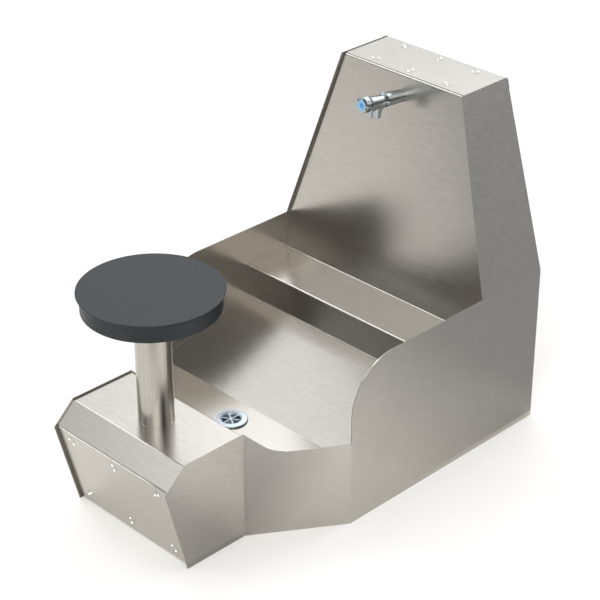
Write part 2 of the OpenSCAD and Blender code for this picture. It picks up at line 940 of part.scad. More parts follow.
module tap_cartridge() {
  thread_back = head_front - collar_thread_l;
  color("#b08d57") tap_frame() difference() {
    union() {
      translate([0, 0, cartridge_back]) cylinder(r = cartridge_r, h = thread_back - cartridge_back);
      translate([0, 0, thread_back - over])
        cylinder(r = cartridge_nose_r, h = collar_thread_l + cartridge_nose_l + over);
    }
    translate([0, 0, stem_bore_back]) cylinder(r = stem_r + stem_gap, h = tap_reach);
  }
}

module tap_collar() {
  color("#9aa1a6") tap_frame() difference() {
    union() {
      translate([0, 0, head_front - collar_thread_l])
        cylinder(r = cavity_r - thread_gap, h = collar_thread_l + over);
      translate([0, 0, head_front]) cylinder(r = collar_r, h = collar_nose_l);
    }
    translate([0, 0, head_front - collar_thread_l - over])
      cylinder(r = collar_bore_r, h = collar_thread_l + collar_nose_l + 2 * over);
  }
}

module push_button() {
  cap_back = tap_reach - button_l;
  color("#c9cfd3") tap_frame() difference() {
    union() {
      translate([0, 0, cap_back]) cylinder(r = button_r, h = button_l - button_bevel);
      translate([0, 0, tap_reach - button_bevel])
        cylinder(r1 = button_r, r2 = button_r - button_bevel, h = button_bevel);
    }
    translate([0, 0, cap_back - over])
      cylinder(r = collar_r + button_gap, h = button_l - button_end_t + over);
    translate([0, 0, tap_reach - insert_recess]) cylinder(r = insert_r, h = insert_recess + over);
  }
}

module button_insert() {
  color("#7fb2dd") tap_frame() translate([0, 0, tap_reach - insert_recess])
    cylinder(r = insert_r - insert_gap, h = insert_t);
}

module valve_stem() {
  color("#b08d57") tap_frame() translate([0, 0, stem_back])
    cylinder(r = stem_r, h = tap_reach - button_end_t - stem_back);
}

// Points of the spring's tube, ring by ring along the helix
function spring_points(length) =
  let (
    rings = spring_turns * spring_ring_steps,
    rise = (length - 2 * spring_wire_r) / rings
  )
  [for (i = [0 : rings], j = [0 : spring_sides - 1])
    let (
      a = 360 * i / spring_ring_steps,
      b = 360 * j / spring_sides,
      r = spring_mean_r + spring_wire_r * cos(b)
    )
    [r * cos(a), r * sin(a), spring_wire_r + rise * i + spring_wire_r * sin(b)]];

function tube_faces(rings, sides) = concat(
  [[for (j = [0 : sides - 1]) j]],
  [for (i = [0 : rings - 1], j = [0 : sides - 1])
    let (k = (j + 1) % sides)
    each [
      [i * sides + j, (i + 1) * sides + j, i * sides + k],
      [i * sides + k, (i + 1) * sides + j, (i + 1) * sides + k]
    ]],
  [[for (j = [sides - 1 : -1 : 0]) rings * sides + j]]
);

module return_spring() {
  seat = head_front + cartridge_nose_l + spring_end_gap;
  length = tap_reach - button_end_t - spring_end_gap - seat;
  color("#9aa0a4") tap_frame() translate([0, 0, seat])
    polyhedron(spring_points(length), tube_faces(spring_turns * spring_ring_steps, spring_sides));
}

module tap_washer() {
  color("#2b2d2e") tap_frame() translate([0, 0, -sheet_t - tap_washer_t])
    ring(tap_washer_r, tap_tail_r + screw_gap, tap_washer_t);
}

module tap_backnut() {
  color("#c9a95f") tap_frame() translate([0, 0, -sheet_t - tap_washer_t - tap_nut_t])
    hex_nut(tap_nut_r, tap_tail_r + thread_gap, tap_nut_t);
}

side_panel_left();
side_panel_right();
front_access_panel();
bench_top();
basin_tray();
splashback();
top_access_cover();
back_panel();
front_bottom_rail();
basin_stiffener();
floor_brackets();
front_panel_screws();
front_panel_nuts();
top_cover_screws();
top_cover_nuts();
seat_disc();
seat_plate();
seat_screws();
seat_column();
column_foot_plate();
waste_body();
waste_seal();
waste_washer();
waste_backnut();
tap_body();
tap_cartridge();
tap_collar();
push_button();
button_insert();
valve_stem();
return_spring();
spout_nozzle();
tap_washer();
tap_backnut();
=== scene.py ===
import json
import math

import bmesh
import bpy
from mathutils import Matrix, Vector


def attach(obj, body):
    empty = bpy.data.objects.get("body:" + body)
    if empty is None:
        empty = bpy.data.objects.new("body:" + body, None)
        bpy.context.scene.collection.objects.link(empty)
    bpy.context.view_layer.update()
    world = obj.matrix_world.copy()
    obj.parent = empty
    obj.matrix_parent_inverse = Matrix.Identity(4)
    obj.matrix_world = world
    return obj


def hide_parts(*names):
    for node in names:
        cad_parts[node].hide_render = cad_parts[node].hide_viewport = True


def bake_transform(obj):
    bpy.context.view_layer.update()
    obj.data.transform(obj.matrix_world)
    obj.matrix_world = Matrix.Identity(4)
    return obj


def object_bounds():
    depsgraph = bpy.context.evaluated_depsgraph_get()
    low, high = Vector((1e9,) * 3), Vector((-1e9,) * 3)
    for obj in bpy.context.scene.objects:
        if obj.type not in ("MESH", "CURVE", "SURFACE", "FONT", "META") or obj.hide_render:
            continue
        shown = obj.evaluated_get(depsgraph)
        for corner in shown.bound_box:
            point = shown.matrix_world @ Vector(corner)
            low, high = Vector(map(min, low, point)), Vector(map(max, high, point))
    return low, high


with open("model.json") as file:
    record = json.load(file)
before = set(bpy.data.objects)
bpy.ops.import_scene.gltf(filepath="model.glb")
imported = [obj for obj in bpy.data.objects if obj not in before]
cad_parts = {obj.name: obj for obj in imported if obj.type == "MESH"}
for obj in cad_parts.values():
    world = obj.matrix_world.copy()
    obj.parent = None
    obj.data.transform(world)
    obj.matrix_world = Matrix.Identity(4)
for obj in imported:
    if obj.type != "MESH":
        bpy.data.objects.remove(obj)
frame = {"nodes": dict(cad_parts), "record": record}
cad_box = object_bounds()
nodes = frame["nodes"]
mounts = {mount["name"]: mount for mount in frame["record"]["mounts"]}

MM = 0.001
X, Y, Z = 0, 1, 2


# Node trees

class Term:
    """A number in a node tree. Arithmetic on terms adds Math nodes."""

    def __init__(self, graph, socket):
        self.graph = graph
        self.socket = socket

    def maths(self, operation, *terms):
        return self.graph.node("ShaderNodeMath", {"operation": operation}, dict(enumerate(terms)))["Value"]

    def __add__(self, other):
        return self.maths("ADD", self, other)

    def __sub__(self, other):
        return self.maths("SUBTRACT", self, other)

    def __rsub__(self, other):
        return self.maths("SUBTRACT", other, self)

    def __mul__(self, other):
        return self.maths("MULTIPLY", self, other)

    def __truediv__(self, other):
        return self.maths("DIVIDE", self, other)

    __radd__ = __add__
    __rmul__ = __mul__


class Graph:
    """A node tree, of a material or of geometry, that grows node by node."""

    def __init__(self, tree):
        self.tree = tree

    def node(self, kind, settings=None, inputs=None):
        made = self.tree.nodes.new(kind)
        for name, value in (settings or {}).items():
            if name == "stops":
                self.set_stops(made.color_ramp, value)
            else:
                setattr(made, name, value)
        for name, value in (inputs or {}).items():
            self.feed(find_socket(made.inputs, name), value)
        return Outputs(self, made)

    def set_stops(self, ramp, stops):
        for element, (position, shade) in zip(ramp.elements, stops):
            element.position = position
            element.color = (shade, shade, shade, 1)

    def feed(self, socket, value):
        if isinstance(value, Term):
            self.tree.links.new(value.socket, socket)
        else:
            socket.default_value = value


class Outputs:
    """The outputs of one node, each given as a term."""

    def __init__(self, graph, made):
        self.graph = graph
        self.made = made

    def __getitem__(self, name):
        return Term(self.graph, find_socket(self.made.outputs, name))


def find_socket(sockets, name):
    """The socket of that number, or the one in use of that name."""
    if isinstance(name, int):
        return sockets[name]
    return next(socket for socket in sockets if socket.name == name and socket.enabled)


# Materials

def material(name, plain, varying=None):
    """A material of one Principled shader: plain sockets hold a value, varying(graph) feeds the others."""
    made = bpy.data.materials.new(name)
    made.use_nodes = True
    shader = made.node_tree.nodes["Principled BSDF"]
    for socket, value in plain.items():
        shader.inputs[socket].default_value = value
    if varying:
        graph = Graph(made.node_tree)
        for socket, term in varying(graph).items():
            graph.feed(shader.inputs[socket], term)
    return made


def scaled_place(graph, scale):
    """Object coordinates, scaled along each axis."""
    place = graph.node("ShaderNodeTexCoord")["Object"]
    return graph.node("ShaderNodeVectorMath", {"operation": "MULTIPLY"}, {0: place, 1: scale})["Vector"]


def noise(graph, scale, detail=2.0, roughness=0.5):
    """Noise from 0 to 1, with its own scale along each axis."""
    inputs = {"Vector": scaled_place(graph, scale), "Scale": 1.0, "Detail": detail, "Roughness": roughness}
    return graph.node("ShaderNodeTexNoise", {}, inputs)["Fac"]


def even(per_metre):
    """Scales of a noise with the same grain along each axis."""
    return [per_metre] * 3


def drawn_out(width, length, axis):
    """Scales of a noise of marks that run along one axis, as brushing leaves them, in millimetres."""
    return [1 / (length * MM) if i == axis else 1 / (width * MM) for i in range(3)]


def weighed(marks, shares, start=0.0):
    """Noises added up by their shares."""
    return sum((marks[name] * share for name, share in shares.items()), start)


def mixed(graph, factor, first, second):
    """A colour between two colours, each of which may be a term."""
    ends = [colour if isinstance(colour, Term) else (*colour, 1) for colour in (first, second)]
    inputs = {"Factor": factor, "A": ends[0], "B": ends[1]}
    return graph.node("ShaderNodeMix", {"data_type": "RGBA"}, inputs)["Result"]


def ramped(graph, value, start, end, interpolation="LINEAR"):
    """From 0 at the start to 1 at the end, and level beyond them."""
    inputs = {"Value": value, "From Min": start, "From Max": end}
    return graph.node("ShaderNodeMapRange", {"interpolation_type": interpolation}, inputs)["Result"]


def bumped(graph, height, distance):
    """A surface that rises by the height's share of a distance in millimetres."""
    return graph.node("ShaderNodeBump", {}, {"Height": height, "Distance": distance * MM})["Normal"]


METAL = {"Metallic": 1.0}

# Darkest and lightest colour
STEEL = ((0.405, 0.383, 0.349), (0.55, 0.52, 0.473))
TUBE_STEEL = ((0.34, 0.32, 0.29), (0.54, 0.51, 0.465))

# Width and length of the marks of brushing
SCRATCH = (0.25, 14)
STREAK = (1.9, 22)
TUBE_STREAK = (4, 120)
LONG_LINE = (1.1, 120)
CLOUDS_PER_METRE = 9

# How much each mark shows in the tone, the roughness and the height of brushed steel
TONE_SHARES = {"scratches": 0.3, "long lines": 0.4, "clouds": 0.3}
ROUGHNESS_SHARES = {"scratches": 0.07, "streaks": 0.06, "clouds": 0.05}
HEIGHT_SHARES = {"scratches": 0.6, "long lines": 0.4}
SMOOTHEST_STEEL = 0.15
BRUSHED_HEIGHT = 0.012

# Colour, strength and reach in millimetres of the painted shade in the side panels' corners
CORNER_SHADE_COLOUR = (0.1, 0.095, 0.088)
CORNER_SHADE_STRENGTH = 1.5
CORNER_SHADE_REACH = 14
# The painted shade fades out between these places, in metres, and none is painted in the basin between them
BENCH_END_Y = (-0.26, -0.29)
TOWER_START_Z = (0.37, 0.4)


def painted_corner_shade(graph):
    """Painted shade, from ambient occlusion, in the corners where a side panel stands out past its
    neighbours, but not in the basin.
    """
    inputs = {"Distance": CORNER_SHADE_REACH * MM}
    openness = graph.node("ShaderNodeAmbientOcclusion", {"samples": 8}, inputs)["AO"]
    place = graph.node("ShaderNodeTexCoord")["Object"]
    along = graph.node("ShaderNodeSeparateXYZ", {}, {"Vector": place})
    bench = ramped(graph, along["Y"], *BENCH_END_Y)
    tower = ramped(graph, along["Z"], *TOWER_START_Z)
    return (1 - openness) * bench.maths("MAXIMUM", bench, tower) * CORNER_SHADE_STRENGTH


def brushed_steel(name, axis, colours=STEEL, streak=STREAK, grain=0.9, corner_shaded=False):
    """Satin stainless steel, brushed along one axis. Grain says how much its streaks show."""

    def varying(graph):
        marks = {
            "scratches": noise(graph, drawn_out(*SCRATCH, axis), 3),
            "streaks": noise(graph, drawn_out(*streak, axis), 2, 0.6),
            "long lines": noise(graph, drawn_out(*LONG_LINE, axis), 2),
            "clouds": noise(graph, even(CLOUDS_PER_METRE), 3),
        }
        tone = weighed(marks, {**TONE_SHARES, "streaks": grain}, -grain / 2)
        steel = mixed(graph, tone, *colours)
        # Painted shade: the steel darkens where ambient occlusion finds a corner
        if corner_shaded:
            steel = mixed(graph, 1 - painted_corner_shade(graph), CORNER_SHADE_COLOUR, steel)
        return {
            "Base Color": steel,
            "Roughness": weighed(marks, ROUGHNESS_SHARES, SMOOTHEST_STEEL),
            "Normal": bumped(graph, weighed(marks, HEIGHT_SHARES), BRUSHED_HEIGHT),
        }

    return material(name, METAL, varying)


def speckled(name, plain, colours, roughness, per_metre, detail, height=0):
    """A finish whose colour, gloss and height all follow one even noise, each between two ends."""
    smoothest, roughest = roughness

    def varying(graph):
        grains = noise(graph, even(per_metre), detail)
        sockets = {
            "Base Color": mixed(graph, grains, *colours),
            "Roughness": grains * (roughest - smoothest) + smoothest,
        }
        if height:
            sockets["Normal"] = bumped(graph, grains, height)
        return sockets

    return material(name, plain, varying)


# A lighter copy of the brushed weld under the same gloss, which paints a highlight along the riser foot
def polished_weld():
    colours = ((0.62, 0.6, 0.56), (0.74, 0.72, 0.68))
    return speckled("polished_weld", METAL, colours, (0.12, 0.24), per_metre=900, detail=3, height=0.02)


def brushed_weld():
    colours = ((0.42, 0.4, 0.365), (0.5, 0.475, 0.435))
    return speckled("brushed_weld", METAL, colours, (0.12, 0.24), per_metre=900, detail=3, height=0.02)


def plain_steel():
    colours = ((0.5, 0.485, 0.455), (0.6, 0.585, 0.555))
    return speckled("plain_steel", METAL, colours, (0.2, 0.32), per_metre=700, detail=4, height=0.01)


def chrome():
    colours = ((0.36, 0.39, 0.405), (0.42, 0.45, 0.465))
    return speckled("chrome", METAL, colours, (0.15, 0.21), per_metre=60, detail=3)


def satin_chrome():
    """The waste's chrome, dulled and cooled by water and cleaning."""
    colours = ((0.44, 0.49, 0.54), (0.54, 0.59, 0.64))
    return speckled("satin_chrome", METAL, colours, (0.24, 0.38), per_metre=160, detail=4)


def dark_collar():
    """The neck behind the button, painted dark for the shade in the gap between the button and the head."""
    colours = ((0.1, 0.11, 0.12), (0.2, 0.21, 0.22))
    return speckled("dark_collar", METAL, colours, (0.3, 0.45), per_metre=500, detail=3)


def white_gloss():
    """The pale plugs, with a painted glow from emission that keeps them white in any light."""
    plain = {"Emission Color": (1, 1, 1, 1), "Emission Strength": 1.2}
    colours = ((0.88, 0.88, 0.87), (0.93, 0.93, 0.92))
    return speckled("white_gloss", plain, colours, (0.3, 0.4), per_metre=400, detail=2)


def seal_rubber():
    colours = ((0.02, 0.02, 0.021), (0.035, 0.035, 0.036))
    return speckled("seal_rubber", {}, colours, (0.55, 0.7), per_metre=2500, detail=2, height=0.03)


def machined_brass():
    colours = ((0.66, 0.47, 0.2), (0.78, 0.6, 0.3))
    return speckled("machined_brass", METAL, colours, (0.2, 0.34), per_metre=900, detail=3, height=0.02)


SEAT_COLOURS = ((0.002, 0.0035, 0.004), (0.015, 0.021, 0.024))
SEAT_GRAINS_PER_METRE = 1500
SEAT_WEAR = (6, 70)
SEAT_SPECKLE = (2.6, 6)


def seat_plastic():
    """Anthracite plastic with a fine grain, a coarser speckle and faint wear."""

    def varying(graph):
        marks = {
            "grain": noise(graph, even(SEAT_GRAINS_PER_METRE), 3, 0.6),
            "wear": noise(graph, drawn_out(*SEAT_WEAR, X), 4),
            "speckle": noise(graph, drawn_out(*SEAT_SPECKLE, X), 2, 0.6),
        }
        return {
            "Base Color": mixed(graph, weighed(marks, {"wear": 0.4, "speckle": 2.4}, -0.9), *SEAT_COLOURS),
            "Roughness": weighed(marks, {"grain": 0.1, "wear": 0.1, "speckle": 0.16}, 0.28),
            "Normal": bumped(graph, weighed(marks, {"grain": 0.3, "speckle": 0.7}), 0.16),
        }

    return material("seat_plastic", {"Specular IOR Level": 0.43}, varying)


BLUE_DIMPLE = (0.06, 0.22, 0.55)
BLUE_FIELD = (0.155, 0.365, 0.6)
BLUE_EDGE = (0.25, 0.46, 0.66)
# Distances from the middle of the insert, in millimetres, between which one blue turns into the next
DIMPLE_FADE = (2.6, 5.2)
EDGE_FADE = (7, 12)
BLUE_FILM_PER_METRE = 300


def blue_gloss():
    """Blue that is deeper in the middle of the insert and paler towards its edge."""

    def varying(graph):
        place = graph.node("ShaderNodeTexCoord")["Object"]
        middle = on_tap(0, 0, TAP_REACH)
        away = graph.node("ShaderNodeVectorMath", {"operation": "DISTANCE"}, {0: place, 1: middle})["Value"]
        out_of_dimple = ramped(graph, away, *[r * MM for r in DIMPLE_FADE], "SMOOTHSTEP")
        near_edge = ramped(graph, away, *[r * MM for r in EDGE_FADE], "SMOOTHSTEP")
        film = noise(graph, even(BLUE_FILM_PER_METRE), 2)
        field = mixed(graph, near_edge, BLUE_FIELD, BLUE_EDGE)
        return {
            "Base Color": mixed(graph, out_of_dimple, BLUE_DIMPLE, field),
            "Roughness": film * 0.1 + 0.2,
        }

    return material("blue_gloss", {"Coat Weight": 0.3}, varying)


FLOOR_COLOURS = ((0.89, 0.865, 0.825), (0.91, 0.885, 0.845))
FLOOR_CLOUDS_PER_METRE = 0.8


def floor_paint():
    def varying(graph):
        clouds = noise(graph, even(FLOOR_CLOUDS_PER_METRE), 2)
        return {"Base Color": mixed(graph, clouds, *FLOOR_COLOURS)}

    return material("floor_paint", {"Roughness": 0.9}, varying)


CARD_GREY = (0.36, 0.36, 0.36, 1)


def card_paper(name, direction, start, end, most):
    """Grey card that fades in along a direction on the floor, up to a share of its full grey."""
    made = bpy.data.materials.new(name)
    made.use_nodes = True
    graph = Graph(made.node_tree)
    place = graph.node("ShaderNodeTexCoord")["Object"]
    along = graph.node("ShaderNodeVectorMath", {"operation": "DOT_PRODUCT"}, {0: place, 1: direction})
    fade = ramped(graph, along["Value"], start, end) * most
    paper = graph.node("ShaderNodeBsdfDiffuse", {}, {"Color": CARD_GREY})["BSDF"]
    clear = graph.node("ShaderNodeBsdfTransparent")["BSDF"]
    shown = graph.node("ShaderNodeMixShader", {}, {0: fade, 1: clear, 2: paper})["Shader"]
    graph.feed(made.node_tree.nodes["Material Output"].inputs["Surface"], shown)
    return made


# Places on the unit, in millimetres

UNIT_DEPTH = 1000
KNEE_Y = cad_box[1][Y] - UNIT_DEPTH * MM

# Half of the inside width, at the bench and at the body
BENCH_INSIDE = 173.2
BODY_INSIDE = 298
FLANGE_DEPTH = 212
FLARE_DEPTH = 401
RISER_DEPTH = 671
GUTTER_HEIGHT = 150
DECK_HEIGHT = 250

TAP_REACH = 121
INLET_DEPTH = 30.25
inlet = mounts["water_inlet"]
tap_outward = -Vector(inlet["axis"])
tap_root = Vector(inlet["pos_m"]) + tap_outward * INLET_DEPTH * MM
tap_turn = Matrix(((1, 0, 0), tap_outward.cross((1, 0, 0)), tap_outward)).transposed()
tap_frame = Matrix.Translation(tap_root) @ tap_turn.to_4x4()


def on_unit(x, depth, height):
    """A point across the unit, back from the knee and up from the floor."""
    return Vector((x * MM, KNEE_Y + depth * MM, height * MM))


def on_tap(x, y, out):
    """A point of the tap's own frame: across, up and out along its axis."""
    return tap_frame @ Vector((x * MM, y * MM, out * MM))


# Finishes

steel_across = brushed_steel("brushed_steel_across", X)
steel_face = brushed_steel("brushed_steel_face", X, grain=1.6)
# The side panels' steel has painted shade in its corners
steel_sides = brushed_steel("brushed_steel_sides", Y, grain=1.4, corner_shaded=True)
steel_tube = brushed_steel("brushed_steel_tube", Z, TUBE_STEEL, TUBE_STREAK)
riser_highlight_finish = polished_weld()
bead_finish = brushed_weld()
fixing_finish = plain_steel()
chrome_finish = chrome()
waste_finish = satin_chrome()
collar_shade_finish = dark_collar()
seat_finish = seat_plastic()
blue_finish = blue_gloss()
glowing_white_finish = white_gloss()
rubber_finish = seal_rubber()
brass_finish = machined_brass()

CAD_FINISHES = {
    "brushed_sheet": steel_across,
    "brushed_tube": steel_tube,
    "fixing_steel": fixing_finish,
    "seat_black": seat_finish,
    "chrome": chrome_finish,
    "button_blue": blue_finish,
    "seal_rubber": rubber_finish,
    "brass": brass_finish,
}


# Meshes

SLIVER = 0.002
DOUBLE = 0.0001
ROUND_SEGMENTS = 96

# Angles in degrees: flatter joints are one face, sharper edges of a CAD node are rounded, and edges
# sharper than the rest keep their crease
FLAT_JOINT = 0.4
ROUNDED_ABOVE = 40
SHEET_CREASE = 50
TURNED_CREASE = 34
BEAD_CREASE = 60
WIRE_CREASE = 40


def linked(name, mesh, finish, slot):
    """A piece in the scene, with its finish. The slot is not used."""
    piece = bpy.data.objects.new(name, mesh)
    bpy.context.scene.collection.objects.link(piece)
    mesh.materials.clear()
    mesh.materials.append(finish)
    return piece


def slot_of(node):
    return next(part["material_slot"] for part in frame["record"]["subparts"] if part["node"] == node)


def applied(piece):
    """The piece with its modifiers made part of its mesh."""
    graph = bpy.context.evaluated_depsgraph_get()
    mesh = bpy.data.meshes.new_from_object(piece.evaluated_get(graph))
    piece.modifiers.clear()
    piece.data = mesh
    return piece


def smoothed(mesh, angle):
    """Smooth shading, apart from edges sharper than the angle."""
    for face in mesh.polygons:
        face.use_smooth = True
    mesh.set_sharp_from_angle(angle=math.radians(angle))
    return mesh


def weighted(piece):
    """Keeps flat faces flat where they run into small rounded ones."""
    modifier = piece.modifiers.new("flat faces", "WEIGHTED_NORMAL")
    modifier.keep_sharp = True
    return applied(piece)


def merged_copy(node):
    """A clean mesh of a CAD node: doubles merged and flat faces whole."""
    work = bmesh.new()
    work.from_mesh(nodes[node].data)
    bmesh.ops.remove_doubles(work, verts=work.verts, dist=SLIVER * MM)
    bmesh.ops.dissolve_limit(work, angle_limit=math.radians(FLAT_JOINT), verts=work.verts, edges=work.edges)
    return work


def rounded_piece(node, name, edge_r, finish):
    """Stands for a CAD node, with its edges rounded and its folds smooth."""
    work = merged_copy(node)
    sharp = [
        edge for edge in work.edges
        if len(edge.link_faces) == 2 and edge.calc_face_angle() > math.radians(ROUNDED_ABOVE)
    ]
    bmesh.ops.bevel(
        work, geom=sharp, offset=edge_r * MM, offset_type="OFFSET", segments=2,
        profile=0.5, affect="EDGES", clamp_overlap=True,
    )
    mesh = bpy.data.meshes.new(name)
    work.to_mesh(mesh)
    work.free()
    piece = linked(name, smoothed(mesh, SHEET_CREASE), finish, slot_of(node))
    weighted(piece)
    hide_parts(node)
    return piece


def solid_mesh(name, work):
    """A closed mesh from bmesh, doubles merged and faces outwards."""
    bmesh.ops.remove_doubles(work, verts=work.verts, dist=DOUBLE * MM)
    bmesh.ops.recalc_face_normals(work, faces=work.faces)
    mesh = bpy.data.meshes.new(name)
    work.to_mesh(mesh)
    work.free()
    return mesh


def rounded_outline(outline, steps=5):
    """Points of an outline given as (radius, height, rounding of that corner)."""
    points = []
    for i, (r, z, rounding) in enumerate(outline):
        corner = Vector((r, z))
        if not rounding:
            points.append(corner)
            continue
        before = (Vector(outline[i - 1][:2]) - corner).normalized()
        after = (Vector(outline[(i + 1) % len(outline)][:2]) - corner).normalized()
        half = before.angle(after) / 2
        middle = corner + (before + after).normalized() * rounding / math.sin(half)
        start = corner + before * rounding / math.tan(half) - middle
        end = corner + after * rounding / math.tan(half) - middle
        points += [middle + start.slerp(end, k / steps) for k in range(steps + 1)]
    return points


def thread(outer_r, start, end, pitch, depth):
    """Ridges of a thread in an outline, ring by ring."""
    ridges = int((end - start) / pitch)
    points = []
    for i in range(ridges):
        points += [(outer_r - depth, start + pitch * i, 0), (outer_r, start + pitch * (i + 0.5), 0)]
    return points + [(outer_r - depth, start + pitch * ridges, 0)]


def turned_work(outline, segments):
    """A shape turned round Z. An outline whose ends lie on the axis is closed there."""
    work = bmesh.new()
    points = rounded_outline(outline)
    rings = []
    for point in points:
        r, z = point * MM
        turns = [math.tau * i / segments for i in range(segments)]
        rings.append([work.verts.new((r * math.cos(turn), r * math.sin(turn), z)) for turn in turns])
    open_ends = outline[0][0] == 0 and outline[-1][0] == 0
    for i in range(len(rings) - open_ends):
        lower, upper = rings[i], rings[(i + 1) % len(rings)]
        for j in range(segments):
            k = (j + 1) % segments
            work.faces.new((lower[j], lower[k], upper[k], upper[j]))
    bmesh.ops.remove_doubles(work, verts=work.verts, dist=DOUBLE * MM)
    return work


def turned(name, outline, place, finish, slot, segments=ROUND_SEGMENTS):
    mesh = solid_mesh(name, turned_work(outline, segments))
    mesh.transform(place)
    piece = linked(name, smoothed(mesh, TURNED_CREASE), finish, slot)
    return weighted(piece)


def lofted(name, rings, place):
    """A closed solid through rings of points, for joining to another."""
    work = bmesh.new()
    loops = [[work.verts.new(Vector(point) * MM) for point in ring] for ring in rings]
    count = len(rings[0])
    for lower, upper in zip(loops, loops[1:]):
        for j in range(count):
            k = (j + 1) % count
            work.faces.new((lower[j], lower[k], upper[k], upper[j]))
    work.faces.new(loops[0])
    work.faces.new(loops[-1])
    mesh = solid_mesh(name, work)
    mesh.transform(place)
    return mesh


def rod(name, radius, start, end):
    """A plain rod between two points of the tap's frame, for cutting a bore."""
    start, end = on_tap(*start), on_tap(*end)
    direction = end - start
    work = bmesh.new()
    bmesh.ops.create_cone(
        work, cap_ends=True, segments=ROUND_SEGMENTS, radius1=radius * MM, radius2=radius * MM,
        depth=direction.length,
    )
    mesh = solid_mesh(name, work)
    turn = direction.to_track_quat("Z", "Y").to_matrix().to_4x4()
    mesh.transform(Matrix.Translation((start + end) / 2) @ turn)
    return mesh


def joined(piece, mesh, operation):
    """Adds a mesh to a piece, or cuts it out."""
    tool = bpy.data.objects.new("tool", mesh)
    bpy.context.scene.collection.objects.link(tool)
    boolean = piece.modifiers.new("join", "BOOLEAN")
    boolean.operation = operation
    boolean.solver = "EXACT"
    boolean.object = tool
    applied(piece)
    bpy.data.objects.remove(tool)
    return piece


def slivers_removed(mesh):
    """Merges points that the cuts have left next to each other."""
    work = bmesh.new()
    work.from_mesh(mesh)
    bmesh.ops.remove_doubles(work, verts=work.verts, dist=SLIVER * MM)
    bmesh.ops.dissolve_degenerate(work, dist=SLIVER * MM, edges=work.edges)
    work.to_mesh(mesh)
    work.free()


def spoke(width, start, end, bottom, top, rounding):
    """One spoke along X with rounded upper edges."""
    half = width / 2
    steps = 4
    rise = [math.radians(90 * i / steps) for i in range(steps + 1)]
    right = [(half - rounding * (1 - math.cos(a)), top - rounding * (1 - math.sin(a))) for a in rise]
    section = [(half, bottom), *right, *[(-y, z) for y, z in reversed(right)], (-half, bottom)]
    work = bmesh.new()
    ends = [[work.verts.new(Vector((x, y, z)) * MM) for y, z in section] for x in (start, end)]
    for j in range(len(section)):
        k = (j + 1) % len(section)
        work.faces.new((ends[0][j], ends[0][k], ends[1][k], ends[1][j]))
    work.faces.new(ends[0])
    work.faces.new(ends[1])
    return solid_mesh("spoke", work)


# Geometry node trees

def geometry_tree(name, inputs):
    """A tree with a geometry in, a geometry out and named inputs, given as (name, type, value)."""
    tree = bpy.data.node_groups.new(name, "GeometryNodeTree")
    tree.interface.new_socket("Geometry", in_out="INPUT", socket_type="NodeSocketGeometry")
    tree.interface.new_socket("Geometry", in_out="OUTPUT", socket_type="NodeSocketGeometry")
    for label, kind, value in inputs:
        socket = tree.interface.new_socket(label, in_out="INPUT", socket_type=kind)
        if value is not None:
            socket.default_value = value
    graph = Graph(tree)
    return tree, graph, graph.node("NodeGroupInput")


def finish_tree(graph, given, geometry):
    """Ends a tree: instances made real, and the finish set."""
    real = graph.node("GeometryNodeRealizeInstances", {}, {"Geometry": geometry})["Geometry"]
    inputs = {"Geometry": real, "Material": given["Finish"]}
    dressed = graph.node("GeometryNodeSetMaterial", {}, inputs)["Geometry"]
    graph.node("NodeGroupOutput", {}, {"Geometry": dressed})


def grown(name, mesh, tree, values, finish, slot):
    """Runs a tree on a mesh and keeps the result as a plain piece."""
    piece = linked(name, mesh, finish, slot)
    modifier = piece.modifiers.new(name, "NODES")
    modifier.node_group = tree
    sockets = {item.name: item.identifier for item in tree.interface.items_tree if item.in_out == "INPUT"}
    for label, value in {**values, "Finish": finish}.items():
        modifier[sockets[label]] = value
    applied(piece)
    if not piece.data.materials:
        piece.data.materials.append(finish)
    return piece


def wire(graph, line, radius, resolution):
    """A round wire along a curve, with closed ends."""
    inputs = {"Resolution": resolution, "Radius": radius}
    section = graph.node("GeometryNodeCurvePrimitiveCircle", {}, inputs)["Curve"]
    inputs = {"Curve": line, "Profile Curve": section, "Fill Caps": True}
    return graph.node("GeometryNodeCurveToMesh", {}, inputs)["Mesh"]


def bead_tree():
    """A bead along each edge line, rippled as a weld is."""
    tree, graph, given = geometry_tree("weld_bead", [
        ("Radius", "NodeSocketFloat", 0.001), ("Step", "NodeSocketFloat", 0.001),
        ("Ripple", "NodeSocketFloat", 0.0001), ("Seed", "NodeSocketInt", BEAD_SEED),
        ("Finish", "NodeSocketMaterial", None),
    ])
    line = graph.node("GeometryNodeMeshToCurve", {}, {"Mesh": given["Geometry"]})["Curve"]
    inputs = {"Curve": line, "Length": given["Step"]}
    resampled = graph.node("GeometryNodeResampleCurve", {"mode": "LENGTH"}, inputs)["Curve"]
    bead = wire(graph, resampled, given["Radius"], resolution=8)
    inputs = {"Min": given["Ripple"] * -1, "Max": given["Ripple"], "Seed": given["Seed"]}
    ripple = graph.node("FunctionNodeRandomValue", {"data_type": "FLOAT"}, inputs)["Value"]
    normal = graph.node("GeometryNodeInputNormal")["Normal"]
    shift = graph.node("ShaderNodeVectorMath", {"operation": "SCALE"}, {0: normal, "Scale": ripple})["Vector"]
    moved = graph.node("GeometryNodeSetPosition", {}, {"Geometry": bead, "Offset": shift})["Geometry"]
    finish_tree(graph, given, moved)
    return tree


BEAD_SEED = 3
BEAD_STEP_SHARE = 1.2
BEAD_RIPPLE_SHARE = 0.12


def weld_beads(name, lines, radius, finish):
    mesh = bpy.data.meshes.new(name)
    points, edges = [], []
    for line in lines:
        edges += [(len(points) + i, len(points) + i + 1) for i in range(len(line) - 1)]
        points += line
    mesh.from_pydata(points, edges, [])
    step, ripple = radius * BEAD_STEP_SHARE, radius * BEAD_RIPPLE_SHARE
    values = {"Radius": radius, "Step": step, "Ripple": ripple, "Seed": BEAD_SEED}
    piece = grown(name, mesh, bead_tree(), values, finish, "brushed_sheet")
    smoothed(piece.data, BEAD_CREASE)
    return piece


